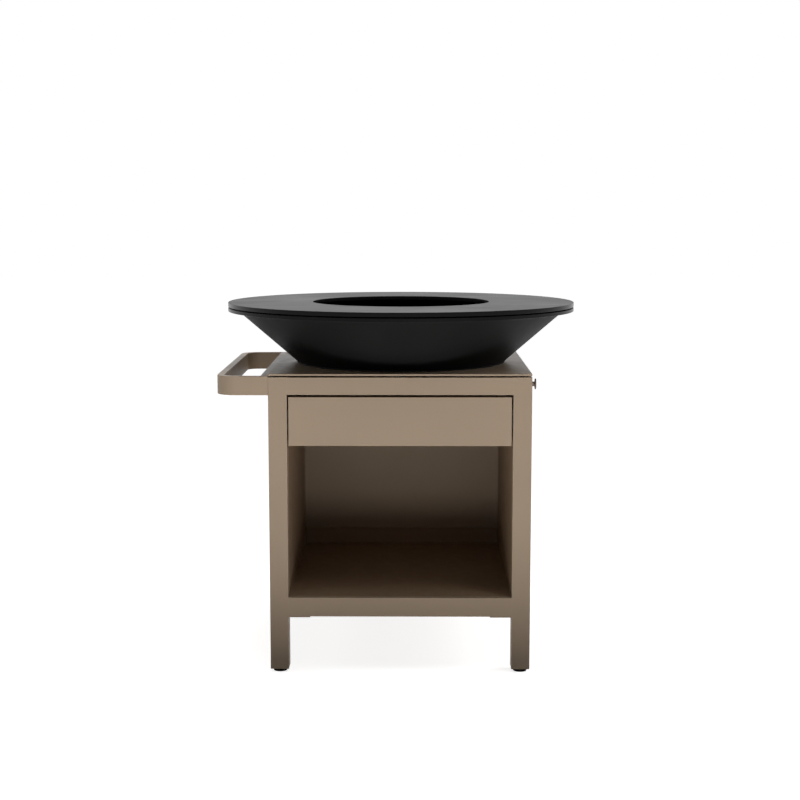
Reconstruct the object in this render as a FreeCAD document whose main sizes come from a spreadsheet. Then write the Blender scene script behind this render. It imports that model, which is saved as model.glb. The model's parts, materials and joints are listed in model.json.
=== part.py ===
import FreeCAD, Part
import math
import os
import re
import Sketcher

# Outdoor plancha module: a ring-shaped griddle plate on a conical fire bowl, carried by a square
# tube cabinet with one drawer, an open storage bay, a side handle and a row of hook knobs.
# Frame: +Z up, the front faces -Y, the origin lies on the ground under the middle of the cabinet.

# Driving dimensions in millimetres: name, value, meaning
DIMENSIONS = (
    ("cabinet_width", 600, "outside width across the posts"),
    ("cabinet_depth", 600, "outside depth across the posts"),
    ("frame_top", 688, "top of the posts and upper rails above the ground"),
    ("post_size", 42.5, "side of the square post tube"),
    ("tube_wall", 2, "wall of the post, rail and handle tubes"),
    ("corner_round", 2, "radius of the outermost upright edges"),
    ("rail_thickness", 18, "thickness of the flat rail tube"),
    ("upper_rail_height", 40, "height of the rails under the top"),
    ("lower_rail_bottom", 132.4, "underside of the lower rails above the ground"),
    ("lower_rail_height", 44.6, "height of the rails around the storage floor"),
    ("gusset_reach", 50, "length of a corner gusset along each rail"),
    ("gusset_thickness", 2, "plate of the corner gussets"),
    ("foot_height", 8, "clearance of the posts when the feet are screwed in"),
    ("foot_radius", 15.8, "radius of the glide of a levelling foot"),
    ("foot_glide_height", 6, "height of that glide"),
    ("foot_bevel", 0.6, "bevelled lower edge of that glide"),
    ("foot_neck_radius", 8, "radius of the neck above the glide"),
    ("foot_stem_radius", 4, "radius of the threaded stem of a foot"),
    ("foot_stem_length", 33, "length of the threaded stem of a foot"),
    ("plug_length", 25, "depth of the threaded plug in the end of a post"),
    ("running_gap", 0.3, "radial clearance of a part that slides in another"),
    ("sheet_gauge", 2, "sheet of the floor, back, liners and side panels"),
    ("panel_recess", 2, "outer panels stand back from the post faces by this"),
    ("panel_return", 12, "folded edge of the outer side panels"),
    ("floor_flange", 20, "folded front and side edges of the storage floor"),
    ("floor_upstand", 41, "folded rear edge of the storage floor"),
    ("shield_gauge", 1.5, "sheet of the heat shield over the drawer"),
    ("top_gap", 3.5, "shadow gap between the frame and the top panel"),
    ("top_thickness", 4, "plate of the top panel"),
    ("spacer_radius", 8, "radius of the spacers under the top panel"),
    ("bracket_leg", 30, "leg of the angles that hold the top panel down"),
    ("bracket_gauge", 3, "sheet of those angles"),
    ("bracket_length", 40, "length of those angles"),
    ("bracket_offset", 150, "distance of those angles from the middle"),
    ("bracket_drop", 18, "bracket screws below the underside of the top panel"),
    ("handle_reach", 119.5, "handle beyond the side of the cabinet"),
    ("handle_height", 43.5, "height of the handle tube"),
    ("handle_rise", 2.3, "top of the handle above the top of the frame"),
    ("handle_thickness", 16.5, "thickness of the handle tube"),
    ("mount_bar_thickness", 18, "thickness of the tube between the ends of the handle"),
    ("handle_corner", 46, "outside bend radius of the handle"),
    ("handle_bolt_pitch", 200, "spacing of the handle bolts"),
    ("knob_pitch", 250, "spacing of the hook knobs"),
    ("knob_radius", 12.5, "radius of the knob disc"),
    ("knob_disc", 3, "thickness of the knob disc"),
    ("knob_standoff", 9, "length of the knob neck"),
    ("knob_neck_radius", 5.5, "radius of the knob neck"),
    ("knob_bevel", 0.8, "bevelled edges of the knob disc"),
    ("drawer_front_height", 112, "height of the drawer front"),
    ("drawer_front_depth", 18, "thickness of the folded drawer front"),
    ("drawer_side_gap", 3.5, "gap beside the drawer front"),
    ("drawer_top_gap", 5, "gap above the drawer front"),
    ("drawer_gauge", 1.5, "sheet of the drawer front and box"),
    ("drawer_flange", 30, "inturned rear flange of the drawer front"),
    ("drawer_round", 1, "rounded edge of the drawer front"),
    ("drawer_lift", 15, "underside of the box above the lower edge of the front"),
    ("drawer_box_depth", 510, "depth of the drawer box"),
    ("drawer_box_height", 85, "height of the drawer box"),
    ("front_screw_inset", 10, "front screws in from the sides of the box"),
    ("front_screw_rise", 16, "front screws above and below the middle of the box"),
    ("front_screw_length", 9, "length of the screws that hold the front"),
    ("slide_setback", 20, "front end of the slides behind the cabinet front"),
    ("slide_length", 500, "length of a drawer slide"),
    ("slide_width", 13, "space that a drawer slide fills beside the box"),
    ("slide_gauge", 1.2, "sheet of the slide members"),
    ("slide_height", 45, "height of the outer slide member"),
    ("slide_step", 3.5, "each slide member is this much lower above and below"),
    ("slide_play", 1, "free space between the webs and tips of slide members"),
    ("slide_screw_pitch", 200, "spacing of the screws in the inner slide member"),
    ("cage_length", 180, "length of a ball cage in the slides"),
    ("cage_width", 5, "width of a ball cage in the slides"),
    ("cage_setback", 5, "ball cages behind the front end or the middle of a slide"),
    ("cage_clearance", 0.2, "ball cage to raceway"),
    ("base_plate_height", 3.5, "thickness of the round plate that carries the bowl"),
    ("bowl_base_radius", 253.5, "outside radius of the bowl at its base"),
    ("bowl_top_radius", 395, "outside radius of the bowl under its rim"),
    ("bowl_height", 123, "height of the conical bowl without its rim"),
    ("bowl_wall", 3, "plate of the bowl"),
    ("bowl_bolt_circle", 200, "radius of the circle of bowl bolts"),
    ("rim_inner_radius", 380, "inside radius of the bowl rim"),
    ("rim_thickness", 8, "thickness of the bowl rim"),
    ("plate_gap", 3, "gap between the rim and the griddle plate"),
    ("plate_thickness", 10, "thickness of the griddle plate"),
    ("plate_radius", 420, "outside radius of the griddle plate and the rim"),
    ("plate_hole_radius", 215, "radius of the fire hole in the plate"),
    ("plate_bevel", 1, "bevelled edges of the plate and the rim"),
    ("pad_circle", 398, "radius of the circle of rest pads under the plate"),
    ("pad_radius", 9, "radius of a rest pad"),
    ("lug_thickness", 6, "centring lug under the plate, across"),
    ("lug_width", 30, "centring lug under the plate, along the rim"),
    ("lug_depth", 14, "centring lug under the plate, downwards"),
    ("lug_play", 2, "centring lug to the inside of the rim"),
    ("small_shank", 2.5, "shank radius of the small screws"),
    ("small_head", 4.75, "head radius of the small screws"),
    ("small_head_height", 2.7, "head height of the small screws"),
    ("small_hole", 2.8, "hole radius for the small screws"),
    ("medium_shank", 3, "shank radius of the medium screws and knob studs"),
    ("medium_hole", 3.3, "hole radius for the medium screws and knob studs"),
    ("medium_head", 5.25, "head radius of the medium screws"),
    ("medium_head_height", 3.3, "head height of the medium screws"),
    ("medium_nut_flats", 10, "medium nut across flats"),
    ("medium_nut_height", 5, "medium nut height"),
    ("large_shank", 4, "shank radius of the large bolts"),
    ("large_hole", 4.5, "hole radius for the large bolts"),
    ("large_head", 7, "head radius of the large bolts"),
    ("large_head_height", 4.4, "head height of the large bolts"),
    ("large_nut_flats", 13, "large nut across flats"),
    ("large_nut_height", 6.5, "large nut height"),
    ("thread_excess", 2, "thread beyond a nut"),
)
ALIASES = {alias for alias, size, meaning in DIMENSIONS}

# Places worked out from the driving dimensions
HALF_WIDTH = "(cabinet_width / 2)"
HALF_DEPTH = "(cabinet_depth / 2)"
INNER_X = "(cabinet_width / 2 - post_size)"
INNER_Y = "(cabinet_depth / 2 - post_size)"
RAIL_X = "(cabinet_width / 2 - rail_thickness)"
RAIL_Y = "(cabinet_depth / 2 - rail_thickness)"
POST_X = "((cabinet_width - post_size) / 2)"
POST_Y = "((cabinet_depth - post_size) / 2)"
BACK_Y = "(cabinet_depth / 2 - panel_recess - sheet_gauge)"
FLOOR_TOP = "(lower_rail_bottom + lower_rail_height)"
BAY_TOP = "(frame_top - upper_rail_height)"
UPPER_RAIL_MIDDLE = "(frame_top - upper_rail_height / 2)"
HANDLE_MIDDLE = "(frame_top + handle_rise - handle_height / 2)"
TOP_UNDERSIDE = "(frame_top + top_gap)"
TOP_SURFACE = "(frame_top + top_gap + top_thickness)"
BOWL_BOTTOM = f"({TOP_SURFACE} + base_plate_height)"
RIM_BOTTOM = f"({BOWL_BOTTOM} + bowl_height)"
RIM_SURFACE = f"({RIM_BOTTOM} + rim_thickness)"
PLATE_BOTTOM = f"({RIM_SURFACE} + plate_gap)"
DRAWER_TOP = f"({BAY_TOP} - drawer_top_gap)"
DRAWER_BOTTOM = f"({DRAWER_TOP} - drawer_front_height)"
FRONT_HALF_WIDTH = f"({INNER_X} - drawer_side_gap)"
BOX_BOTTOM = f"({DRAWER_BOTTOM} + drawer_lift)"
BOX_MIDDLE = f"({BOX_BOTTOM} + drawer_box_height / 2)"
BOX_HALF_WIDTH = f"({INNER_X} - slide_width)"
BOX_FRONT = "(drawer_front_depth - cabinet_depth / 2)"
SLIDE_FRONT = "(slide_setback - cabinet_depth / 2)"
SLIDE_MIDDLE = f"({SLIDE_FRONT} + slide_length / 2)"

SIDES = {"left": -1, "right": 1}
ENDS = {"front": -1, "rear": 1}
CORNERS = [(side, end) for side in SIDES.values() for end in ENDS.values()]
TINY = 1e-6

document = FreeCAD.newDocument("plancha_module")
sheet = document.addObject("Spreadsheet::Sheet", "dims")
for row, (alias, size, meaning) in enumerate(DIMENSIONS, 1):
    sheet.set(f"A{row}", alias)
    sheet.set(f"B{row}", str(size))
    sheet.set(f"C{row}", meaning)
    sheet.setAlias(f"B{row}", alias)
document.recompute()


# Helpers: expressions, sketches and features

def expression(text):
    """Turns the plain dimension names in a text into references to the cells of the sheet."""
    return re.sub(r"[a-z_]+", lambda word: f"dims.{word[0]}" if word[0] in ALIASES else word[0], text)


def number(text):
    """Present value of an expression."""
    return float(sheet.evalExpression(expression(text)))


def bind(item, field, text):
    item.setExpression(field, expression(text))


def new_body(label):
    body = document.addObject("PartDesign::Body", label)
    body.Label = label
    return body


def place(body, x="0", y="0", z="0", turn=0):
    """Puts a body at a bound point, turned about the upright axis by whole degrees."""
    body.Placement = FreeCAD.Placement(FreeCAD.Vector(), FreeCAD.Rotation(FreeCAD.Vector(0, 0, 1), turn))
    for axis, text in zip("xyz", (x, y, z)):
        bind(body, f"Placement.Base.{axis}", text)


def plane_sign(sketch):
    """The XZ plane of a body looks along -Y, the other two look along their own axes."""
    return -1 if sketch.AttachmentSupport[0][0].Role == "XZ_Plane" else 1


def new_sketch(body, name, plane="XY_Plane", level="0"):
    """A sketch on one of the planes of the body, moved along that plane's axis to a bound level."""
    sketch = body.newObject("Sketcher::SketchObject", f"{body.Name}_{name}")
    support = next(item for item in body.Origin.OriginFeatures if item.Role == plane)
    sketch.AttachmentSupport = (support, [""])
    sketch.MapMode = "FlatFace"
    bind(sketch, "AttachmentOffset.Base.z", f"{plane_sign(sketch)} * ({level})")
    return sketch


def bound_size(sketch, name, text, kind, *geometry):
    """A named size constraint that follows an expression."""
    index = sketch.addConstraint(Sketcher.Constraint(kind, *geometry, number(text)))
    sketch.renameConstraint(index, name)
    bind(sketch, f"Constraints.{name}", text)


def bound_point(sketch, name, geometry, end, x, y):
    """Fixes one point of a sketch at a bound distance from the origin along both axes."""
    for kind, text, zero_axis in (("DistanceX", x, -2), ("DistanceY", y, -1)):
        value = number(text)
        if abs(value) < TINY:
            sketch.addConstraint(Sketcher.Constraint("PointOnObject", geometry, end, zero_axis))
        elif value > 0:
            bound_size(sketch, f"{name}_{kind}", text, kind, -1, 1, geometry, end)
        else:
            bound_size(sketch, f"{name}_{kind}", f"-({text})", kind, geometry, end, -1, 1)


def add_polygon(sketch, name, points):
    """A closed outline through bound points."""
    first = sketch.GeometryCount
    corners = [FreeCAD.Vector(number(x), number(y), 0) for x, y in points]
    count = len(corners)
    for index in range(count):
        sketch.addGeometry(Part.LineSegment(corners[index], corners[(index + 1) % count]), False)
    for index in range(count):
        following = first + (index + 1) % count
        sketch.addConstraint(Sketcher.Constraint("Coincident", first + index, 2, following, 1))
    for index, (x, y) in enumerate(points):
        bound_point(sketch, f"{name}{index}", first + index, 1, x, y)


def add_rectangle(sketch, name, width, height, x="0", y="0"):
    """A rectangle of bound width and height round a bound middle."""
    first = sketch.GeometryCount
    half_x = number(width) / 2
    half_y = number(height) / 2
    middle = FreeCAD.Vector(number(x), number(y), 0)
    signs = ((-1, -1), (1, -1), (1, 1), (-1, 1))
    corners = [middle + FreeCAD.Vector(sx * half_x, sy * half_y, 0) for sx, sy in signs]
    for index in range(4):
        sketch.addGeometry(Part.LineSegment(corners[index], corners[(index + 1) % 4]), False)
    for index in range(4):
        following = first + (index + 1) % 4
        sketch.addConstraint(Sketcher.Constraint("Coincident", first + index, 2, following, 1))
        direction = "Vertical" if index % 2 else "Horizontal"
        sketch.addConstraint(Sketcher.Constraint(direction, first + index))
    bound_size(sketch, f"{name}_width", width, "DistanceX", first, 1, first, 2)
    bound_size(sketch, f"{name}_height", height, "DistanceY", first + 1, 1, first + 1, 2)
    bound_point(sketch, name, first, 1, f"{x} - ({width}) / 2", f"{y} - ({height}) / 2")


def add_circle(sketch, name, radius, x="0", y="0"):
    middle = FreeCAD.Vector(number(x), number(y), 0)
    circle = Part.Circle(middle, FreeCAD.Vector(0, 0, 1), number(radius))
    index = sketch.addGeometry(circle, False)
    bound_size(sketch, f"{name}_radius", radius, "Radius", index)
    bound_point(sketch, name, index, 3, x, y)


def add_hexagon(sketch, name, flats, x, y):
    """A nut outline with two flats upright."""
    corner = f"({flats} / 2 / cos(30))"
    angles = range(30, 390, 60)
    points = [(f"{x} + {corner} * cos({angle})", f"{y} + {corner} * sin({angle})") for angle in angles]
    add_polygon(sketch, name, points)


def add_pad(body, sketch, length, towards=1):
    """Extrudes a sketch to the higher (1) or lower (-1) side along its plane's axis."""
    pad = body.newObject("PartDesign::Pad", f"{sketch.Name}_pad")
    pad.Profile = sketch
    pad.Reversed = towards * plane_sign(sketch) < 0
    bind(pad, "Length", length)
    document.recompute()
    return pad


def add_pocket(body, sketch, depth, towards):
    """Cuts a sketch into the body to the higher (1) or lower (-1) side along its plane's axis."""
    volume = body.Shape.Volume
    pocket = body.newObject("PartDesign::Pocket", f"{sketch.Name}_pocket")
    pocket.Profile = sketch
    pocket.Reversed = towards * plane_sign(sketch) > 0
    bind(pocket, "Length", depth)
    document.recompute()
    if body.Shape.Volume > volume - TINY:
        raise RuntimeError(f"{pocket.Name} cuts nothing")
    return pocket


def add_revolution(body, sketch):
    """Turns a sketch of the XZ plane about the upright axis of the body."""
    revolution = body.newObject("PartDesign::Revolution", f"{sketch.Name}_turned")
    revolution.Profile = sketch
    revolution.ReferenceAxis = (sketch, ["V_Axis"])
    revolution.Angle = 360
    document.recompute()
    return revolution


def pick_edges(feature, wanted):
    """The edges of a feature that a test accepts, as a reference to them."""
    return feature, [f"Edge{index}" for index, edge in enumerate(feature.Shape.Edges, 1) if wanted(edge)]


def add_round(body, feature, radius, wanted):
    """Rounds the edges of a feature that a test picks."""
    fillet = body.newObject("PartDesign::Fillet", f"{feature.Name}_round")
    fillet.Base = pick_edges(feature, wanted)
    bind(fillet, "Radius", radius)
    document.recompute()


def add_bevel(body, feature, width, wanted):
    """Bevels the edges of a feature that a test picks."""
    chamfer = body.newObject("PartDesign::Chamfer", f"{feature.Name}_bevel")
    chamfer.Base = pick_edges(feature, wanted)
    bind(chamfer, "Size", width)
    document.recompute()


def add_shell(body, feature, wall, axis, level):
    """Hollows a solid inwards, open at its flat face square to an axis at a level."""
    faces = []
    for index, face in enumerate(feature.Shape.Faces, 1):
        low = getattr(face.BoundBox, f"{axis}Min")
        high = getattr(face.BoundBox, f"{axis}Max")
        if max(abs(low - number(level)), abs(high - number(level))) < TINY:
            faces.append(f"Face{index}")
    shell = body.newObject("PartDesign::Thickness", f"{feature.Name}_shell")
    shell.Base = (feature, faces)
    shell.Join = "Intersection"
    shell.Reversed = True
    bind(shell, "Value", wall)
    document.recompute()


def is_ring(edge, radius, level=None):
    """True for a circular edge of a radius, at a height of its body where one is given."""
    if not isinstance(edge.Curve, Part.Circle) or abs(edge.Curve.Radius - number(radius)) > TINY:
        return False
    return level is None or abs(edge.Curve.Center.z - number(level)) < TINY


def add_bolts(body, name, plane, level, points, size, length, heads):
    """Parallel button-head bolts whose heads stand on a level, to its higher (1) or lower (-1) side."""
    head_sketch = new_sketch(body, f"{name}_heads", plane, level)
    shank_sketch = new_sketch(body, f"{name}_shanks", plane, level)
    for index, (x, y) in enumerate(points):
        add_circle(head_sketch, f"head{index}", f"{size}_head", x, y)
        add_circle(shank_sketch, f"shank{index}", f"{size}_shank", x, y)
    add_pad(body, head_sketch, f"{size}_head_height", heads)
    return add_pad(body, shank_sketch, length, -heads)


def make_nuts(label, plane, level, points, size, towards):
    """Parallel hexagon nuts on a level, to its higher (1) or lower (-1) side."""
    body = new_body(label)
    outline = new_sketch(body, "outline", plane, level)
    for index, (x, y) in enumerate(points):
        add_hexagon(outline, f"nut{index}", f"{size}_nut_flats", x, y)
        add_circle(outline, f"bore{index}", f"{size}_shank", x, y)
    add_pad(body, outline, f"{size}_nut_height", towards)


# Cabinet frame

def make_post(label, side, end):
    """Square tube post, closed at the top, with its outermost edge rounded."""
    body = new_body(label)
    outline = new_sketch(body, "outline")
    add_rectangle(outline, "outside", "post_size", "post_size")
    add_pad(body, outline, "frame_top - foot_height")
    hollow = new_sketch(body, "hollow")
    inside = "post_size - 2 * tube_wall"
    add_rectangle(hollow, "inside", inside, inside)
    tube = add_pocket(body, hollow, "frame_top - foot_height - tube_wall", 1)
    half = number("post_size / 2")
    add_round(
        body,
        tube,
        "corner_round",
        lambda edge: edge.BoundBox.ZLength > half
        and abs(edge.CenterOfMass.x - side * half) < TINY
        and abs(edge.CenterOfMass.y - end * half) < TINY,
    )
    place(body, f"{side} * {POST_X}", f"{end} * {POST_Y}", "foot_height")


def make_tube(label, length, thickness, height):
    """Flat rectangular tube along X round the origin; its side towards the cabinet is +Y."""
    body = new_body(label)
    section = new_sketch(body, "section", "YZ_Plane", f"-({length}) / 2")
    add_rectangle(section, "outside", thickness, height)
    add_rectangle(section, "inside", f"{thickness} - 2 * tube_wall", f"{height} - 2 * tube_wall")
    add_pad(body, section, length)
    return body


def drill_tube(body, thickness, places, depth, towards, radius):
    """Holes in a tube from its outer (1) or inner (-1) side, at places along it and heights on it."""
    holes = new_sketch(body, "holes", "XZ_Plane", f"{-towards} * {thickness} / 2")
    for index, (x, z) in enumerate(places):
        add_circle(holes, f"hole{index}", radius, x, z)
    add_pocket(body, holes, depth, towards)


def make_rail(label, turn, height, bottom):
    """Rail between two posts, flush with the outer faces, on the side that the turn points at."""
    body = make_tube(label, f"2 * {INNER_Y}" if turn % 180 else f"2 * {INNER_X}", "rail_thickness", height)
    out_x = round(math.sin(math.radians(turn)))
    out_y = -round(math.cos(math.radians(turn)))
    x = f"{out_x} * (cabinet_width - rail_thickness) / 2"
    y = f"{out_y} * (cabinet_depth - rail_thickness) / 2"
    place(body, x, y, f"{bottom} + ({height}) / 2", turn)
    return body


RAIL_TURNS = {"front": 0, "right": 90, "rear": 180, "left": 270}


def make_rails():
    upper = {}
    for name, turn in RAIL_TURNS.items():
        upper[name] = make_rail(f"upper_{name}_rail", turn, "upper_rail_height", BAY_TOP)
        height = "lower_rail_height - sheet_gauge" if name == "rear" else "lower_rail_height"
        make_rail(f"lower_{name}_rail", turn, height, "lower_rail_bottom")
    screw_height = f"{TOP_UNDERSIDE} - bracket_drop - {UPPER_RAIL_MIDDLE}"
    for name in ENDS:
        places = [(f"{sign} * bracket_offset", screw_height) for sign in (-1, 1)]
        drill_tube(upper[name], "rail_thickness", places, "tube_wall", -1, "medium_hole")
    row = (-1, 0, 1)
    bolts = [(f"{step} * handle_bolt_pitch", "0") for step in row]
    drill_tube(upper["left"], "rail_thickness", bolts, "rail_thickness", 1, "large_hole")
    studs = [(f"{step} * knob_pitch", "0") for step in row]
    drill_tube(upper["right"], "rail_thickness", studs, "rail_thickness", 1, "medium_hole")


def make_gussets():
    """Plates under the lower rails that wrap the inner corner of each post."""
    body = new_body("corner_gussets")
    outline = new_sketch(body, "outline")
    for index, (side, end) in enumerate(CORNERS):
        points = (
            (INNER_X, HALF_DEPTH),
            (f"({INNER_X} - gusset_reach)", HALF_DEPTH),
            (f"({INNER_X} - gusset_reach)", INNER_Y),
            (INNER_X, f"({INNER_Y} - gusset_reach)"),
            (HALF_WIDTH, f"({INNER_Y} - gusset_reach)"),
            (HALF_WIDTH, INNER_Y),
            (INNER_X, INNER_Y),
        )
        add_polygon(outline, f"gusset{index}_", [(f"{side} * {x}", f"{end} * {y}") for x, y in points])
    add_pad(body, outline, "gusset_thickness")
    place(body, z="lower_rail_bottom - gusset_thickness")


def make_post_plugs():
    """Inserts in the open lower ends of the posts, bored for the feet."""
    body = new_body("post_plugs")
    outline = new_sketch(body, "outline")
    inside = "post_size - 2 * tube_wall"
    for index, (side, end) in enumerate(CORNERS):
        x = f"{side} * {POST_X}"
        y = f"{end} * {POST_Y}"
        add_rectangle(outline, f"plug{index}", inside, inside, x, y)
        add_circle(outline, f"bore{index}", "foot_stem_radius + running_gap", x, y)
    add_pad(body, outline, "plug_length")
    place(body, z="foot_height")


def make_foot(label, side, end):
    """Round glide with a neck that stops against the plug and a stem that screws into it."""
    body = new_body(label)
    profile = new_sketch(body, "profile", "XZ_Plane")
    points = (
        ("0", "0"),
        ("foot_radius - foot_bevel", "0"),
        ("foot_radius", "foot_bevel"),
        ("foot_radius", "foot_glide_height"),
        ("foot_neck_radius", "foot_glide_height"),
        ("foot_neck_radius", "foot_height"),
        ("foot_stem_radius", "foot_height"),
        ("foot_stem_radius", "foot_height + foot_stem_length"),
        ("0", "foot_height + foot_stem_length"),
    )
    add_polygon(profile, "point", points)
    add_revolution(body, profile)
    place(body, f"{side} * {POST_X}", f"{end} * {POST_Y}")


# Panels

def make_storage_floor():
    """Sheet over the rear rail and between the other rails, notched for the posts, with folded edges."""
    body = new_body("storage_floor")
    outline = new_sketch(body, "outline", "XY_Plane", f"{FLOOR_TOP} - sheet_gauge")
    half = (
        (INNER_X, f"-{RAIL_Y}"),
        (INNER_X, f"-{INNER_Y}"),
        (RAIL_X, f"-{INNER_Y}"),
        (RAIL_X, INNER_Y),
        (INNER_X, INNER_Y),
        (INNER_X, BACK_Y),
    )
    add_polygon(outline, "edge", half + tuple((f"-{x}", y) for x, y in reversed(half)))
    add_pad(body, outline, "sheet_gauge")
    flanges = new_sketch(body, "flanges", "XY_Plane", f"{FLOOR_TOP} - sheet_gauge")
    add_rectangle(flanges, "front", f"2 * {INNER_X}", "sheet_gauge", "0", f"sheet_gauge / 2 - {RAIL_Y}")
    for name, side in SIDES.items():
        middle = f"{side} * ({RAIL_X} - sheet_gauge / 2)"
        add_rectangle(flanges, name, "sheet_gauge", f"2 * {INNER_Y}", middle)
    add_pad(body, flanges, "floor_flange", -1)
    upstand = new_sketch(body, "upstand", "XY_Plane", FLOOR_TOP)
    add_rectangle(upstand, "rear", f"2 * {INNER_X}", "sheet_gauge", "0", f"{BACK_Y} - sheet_gauge / 2")
    add_pad(body, upstand, "floor_upstand")


def make_side_tray(label, skin, towards, depth):
    """Folded sheet between the posts and rails of one side: a skin at a level, with turned edges."""
    body = new_body(label)
    outline = new_sketch(body, "outline", "YZ_Plane", skin)
    height = f"{BAY_TOP} - {FLOOR_TOP}"
    add_rectangle(outline, "panel", f"2 * {INNER_Y}", height, "0", f"({BAY_TOP} + {FLOOR_TOP}) / 2")
    block = add_pad(body, outline, depth, towards)
    add_shell(body, block, "sheet_gauge", "X", f"{skin} + {towards} * ({depth})")


def make_sides():
    for name, side in SIDES.items():
        make_side_tray(f"{name}_liner", f"{side} * {INNER_X}", side, f"{RAIL_X} - {INNER_X}")
        outer_skin = f"{side} * ({HALF_WIDTH} - panel_recess)"
        make_side_tray(f"{name}_side_panel", outer_skin, -side, "panel_return")


def make_back_panel():
    body = new_body("back_panel")
    outline = new_sketch(body, "outline", "XZ_Plane", BACK_Y)
    bottom = f"({FLOOR_TOP} - sheet_gauge)"
    middle = f"({BAY_TOP} + {bottom}) / 2"
    add_rectangle(outline, "panel", f"2 * {INNER_X}", f"{BAY_TOP} - {bottom}", "0", middle)
    add_pad(body, outline, "sheet_gauge")


def make_heat_shield():
    """Sheet on the top edges of the liners, notched for the posts."""
    body = new_body("heat_shield")
    outline = new_sketch(body, "outline", "XY_Plane", BAY_TOP)
    quarter = ((INNER_X, RAIL_Y), (INNER_X, INNER_Y), (RAIL_X, INNER_Y))
    right = tuple((x, f"-{y}") for x, y in quarter) + tuple(reversed(quarter))
    add_polygon(outline, "edge", right + tuple((f"-{x}", y) for x, y in reversed(right)))
    add_pad(body, outline, "shield_gauge")


# Top panel and what holds it

def bowl_bolt_points():
    """Four places on the bolt circle, on the diagonals of the cabinet."""
    reach = "bowl_bolt_circle * cos(45)"
    return [(f"{side} * {reach}", f"{end} * {reach}") for side, end in CORNERS]


def make_top_panel():
    body = new_body("top_panel")
    outline = new_sketch(body, "outline")
    add_rectangle(outline, "panel", "cabinet_width", "cabinet_depth")
    add_pad(body, outline, "top_thickness")
    holes = new_sketch(body, "holes")
    for index, (x, y) in enumerate(bowl_bolt_points()):
        add_circle(holes, f"hole{index}", "large_hole", x, y)
    plate = add_pocket(body, holes, "top_thickness", 1)
    half = number(HALF_WIDTH)
    add_round(
        body,
        plate,
        "corner_round",
        lambda edge: edge.BoundBox.DiagonalLength - edge.BoundBox.ZLength < TINY
        and abs(abs(edge.CenterOfMass.x) - half) < TINY,
    )
    place(body, z=TOP_UNDERSIDE)


def make_top_spacers():
    """Discs on the posts and on the middle of each upper rail, which make the shadow gap."""
    body = new_body("top_panel_spacers")
    outline = new_sketch(body, "outline")
    middle_x = "(cabinet_width - rail_thickness) / 2"
    middle_y = "(cabinet_depth - rail_thickness) / 2"
    places = [(f"{side} * {POST_X}", f"{end} * {POST_Y}") for side, end in CORNERS]
    places += [(f"{sign} * {middle_x}", "0") for sign in (-1, 1)]
    places += [("0", f"{sign} * {middle_y}") for sign in (-1, 1)]
    for index, (x, y) in enumerate(places):
        add_circle(outline, f"spacer{index}", "spacer_radius", x, y)
    add_pad(body, outline, "top_gap")
    place(body, z="frame_top")


def make_top_brackets():
    """Angles under the top panel, screwed to the inner faces of the front and rear rails."""
    body = new_body("top_panel_brackets")
    profile = (
        (RAIL_Y, TOP_UNDERSIDE),
        (RAIL_Y, f"{TOP_UNDERSIDE} - bracket_leg"),
        (f"({RAIL_Y} - bracket_gauge)", f"{TOP_UNDERSIDE} - bracket_leg"),
        (f"({RAIL_Y} - bracket_gauge)", f"{TOP_UNDERSIDE} - bracket_gauge"),
        (f"({RAIL_Y} - bracket_leg)", f"{TOP_UNDERSIDE} - bracket_gauge"),
        (f"({RAIL_Y} - bracket_leg)", TOP_UNDERSIDE),
    )
    for name, side in SIDES.items():
        section = new_sketch(body, name, "YZ_Plane", f"{side} * bracket_offset - bracket_length / 2")
        for end_name, end in ENDS.items():
            add_polygon(section, end_name, [(f"{end} * {y}", z) for y, z in profile])
        add_pad(body, section, "bracket_length")
    holes = new_sketch(body, "holes", "XZ_Plane", RAIL_Y)
    screws = new_body("bracket_screws")
    points = [(f"{side} * bracket_offset", f"{TOP_UNDERSIDE} - bracket_drop") for side in SIDES.values()]
    for index, (x, z) in enumerate(points):
        add_circle(holes, f"hole{index}", "medium_hole", x, z)
    add_pocket(body, holes, f"2 * {RAIL_Y}", -1)
    length = "bracket_gauge + rail_thickness / 2"
    for name, end in ENDS.items():
        level = f"{end} * ({RAIL_Y} - bracket_gauge)"
        add_bolts(screws, name, "XZ_Plane", level, points, "medium", length, -end)


# Side handle and hook knobs

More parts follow.
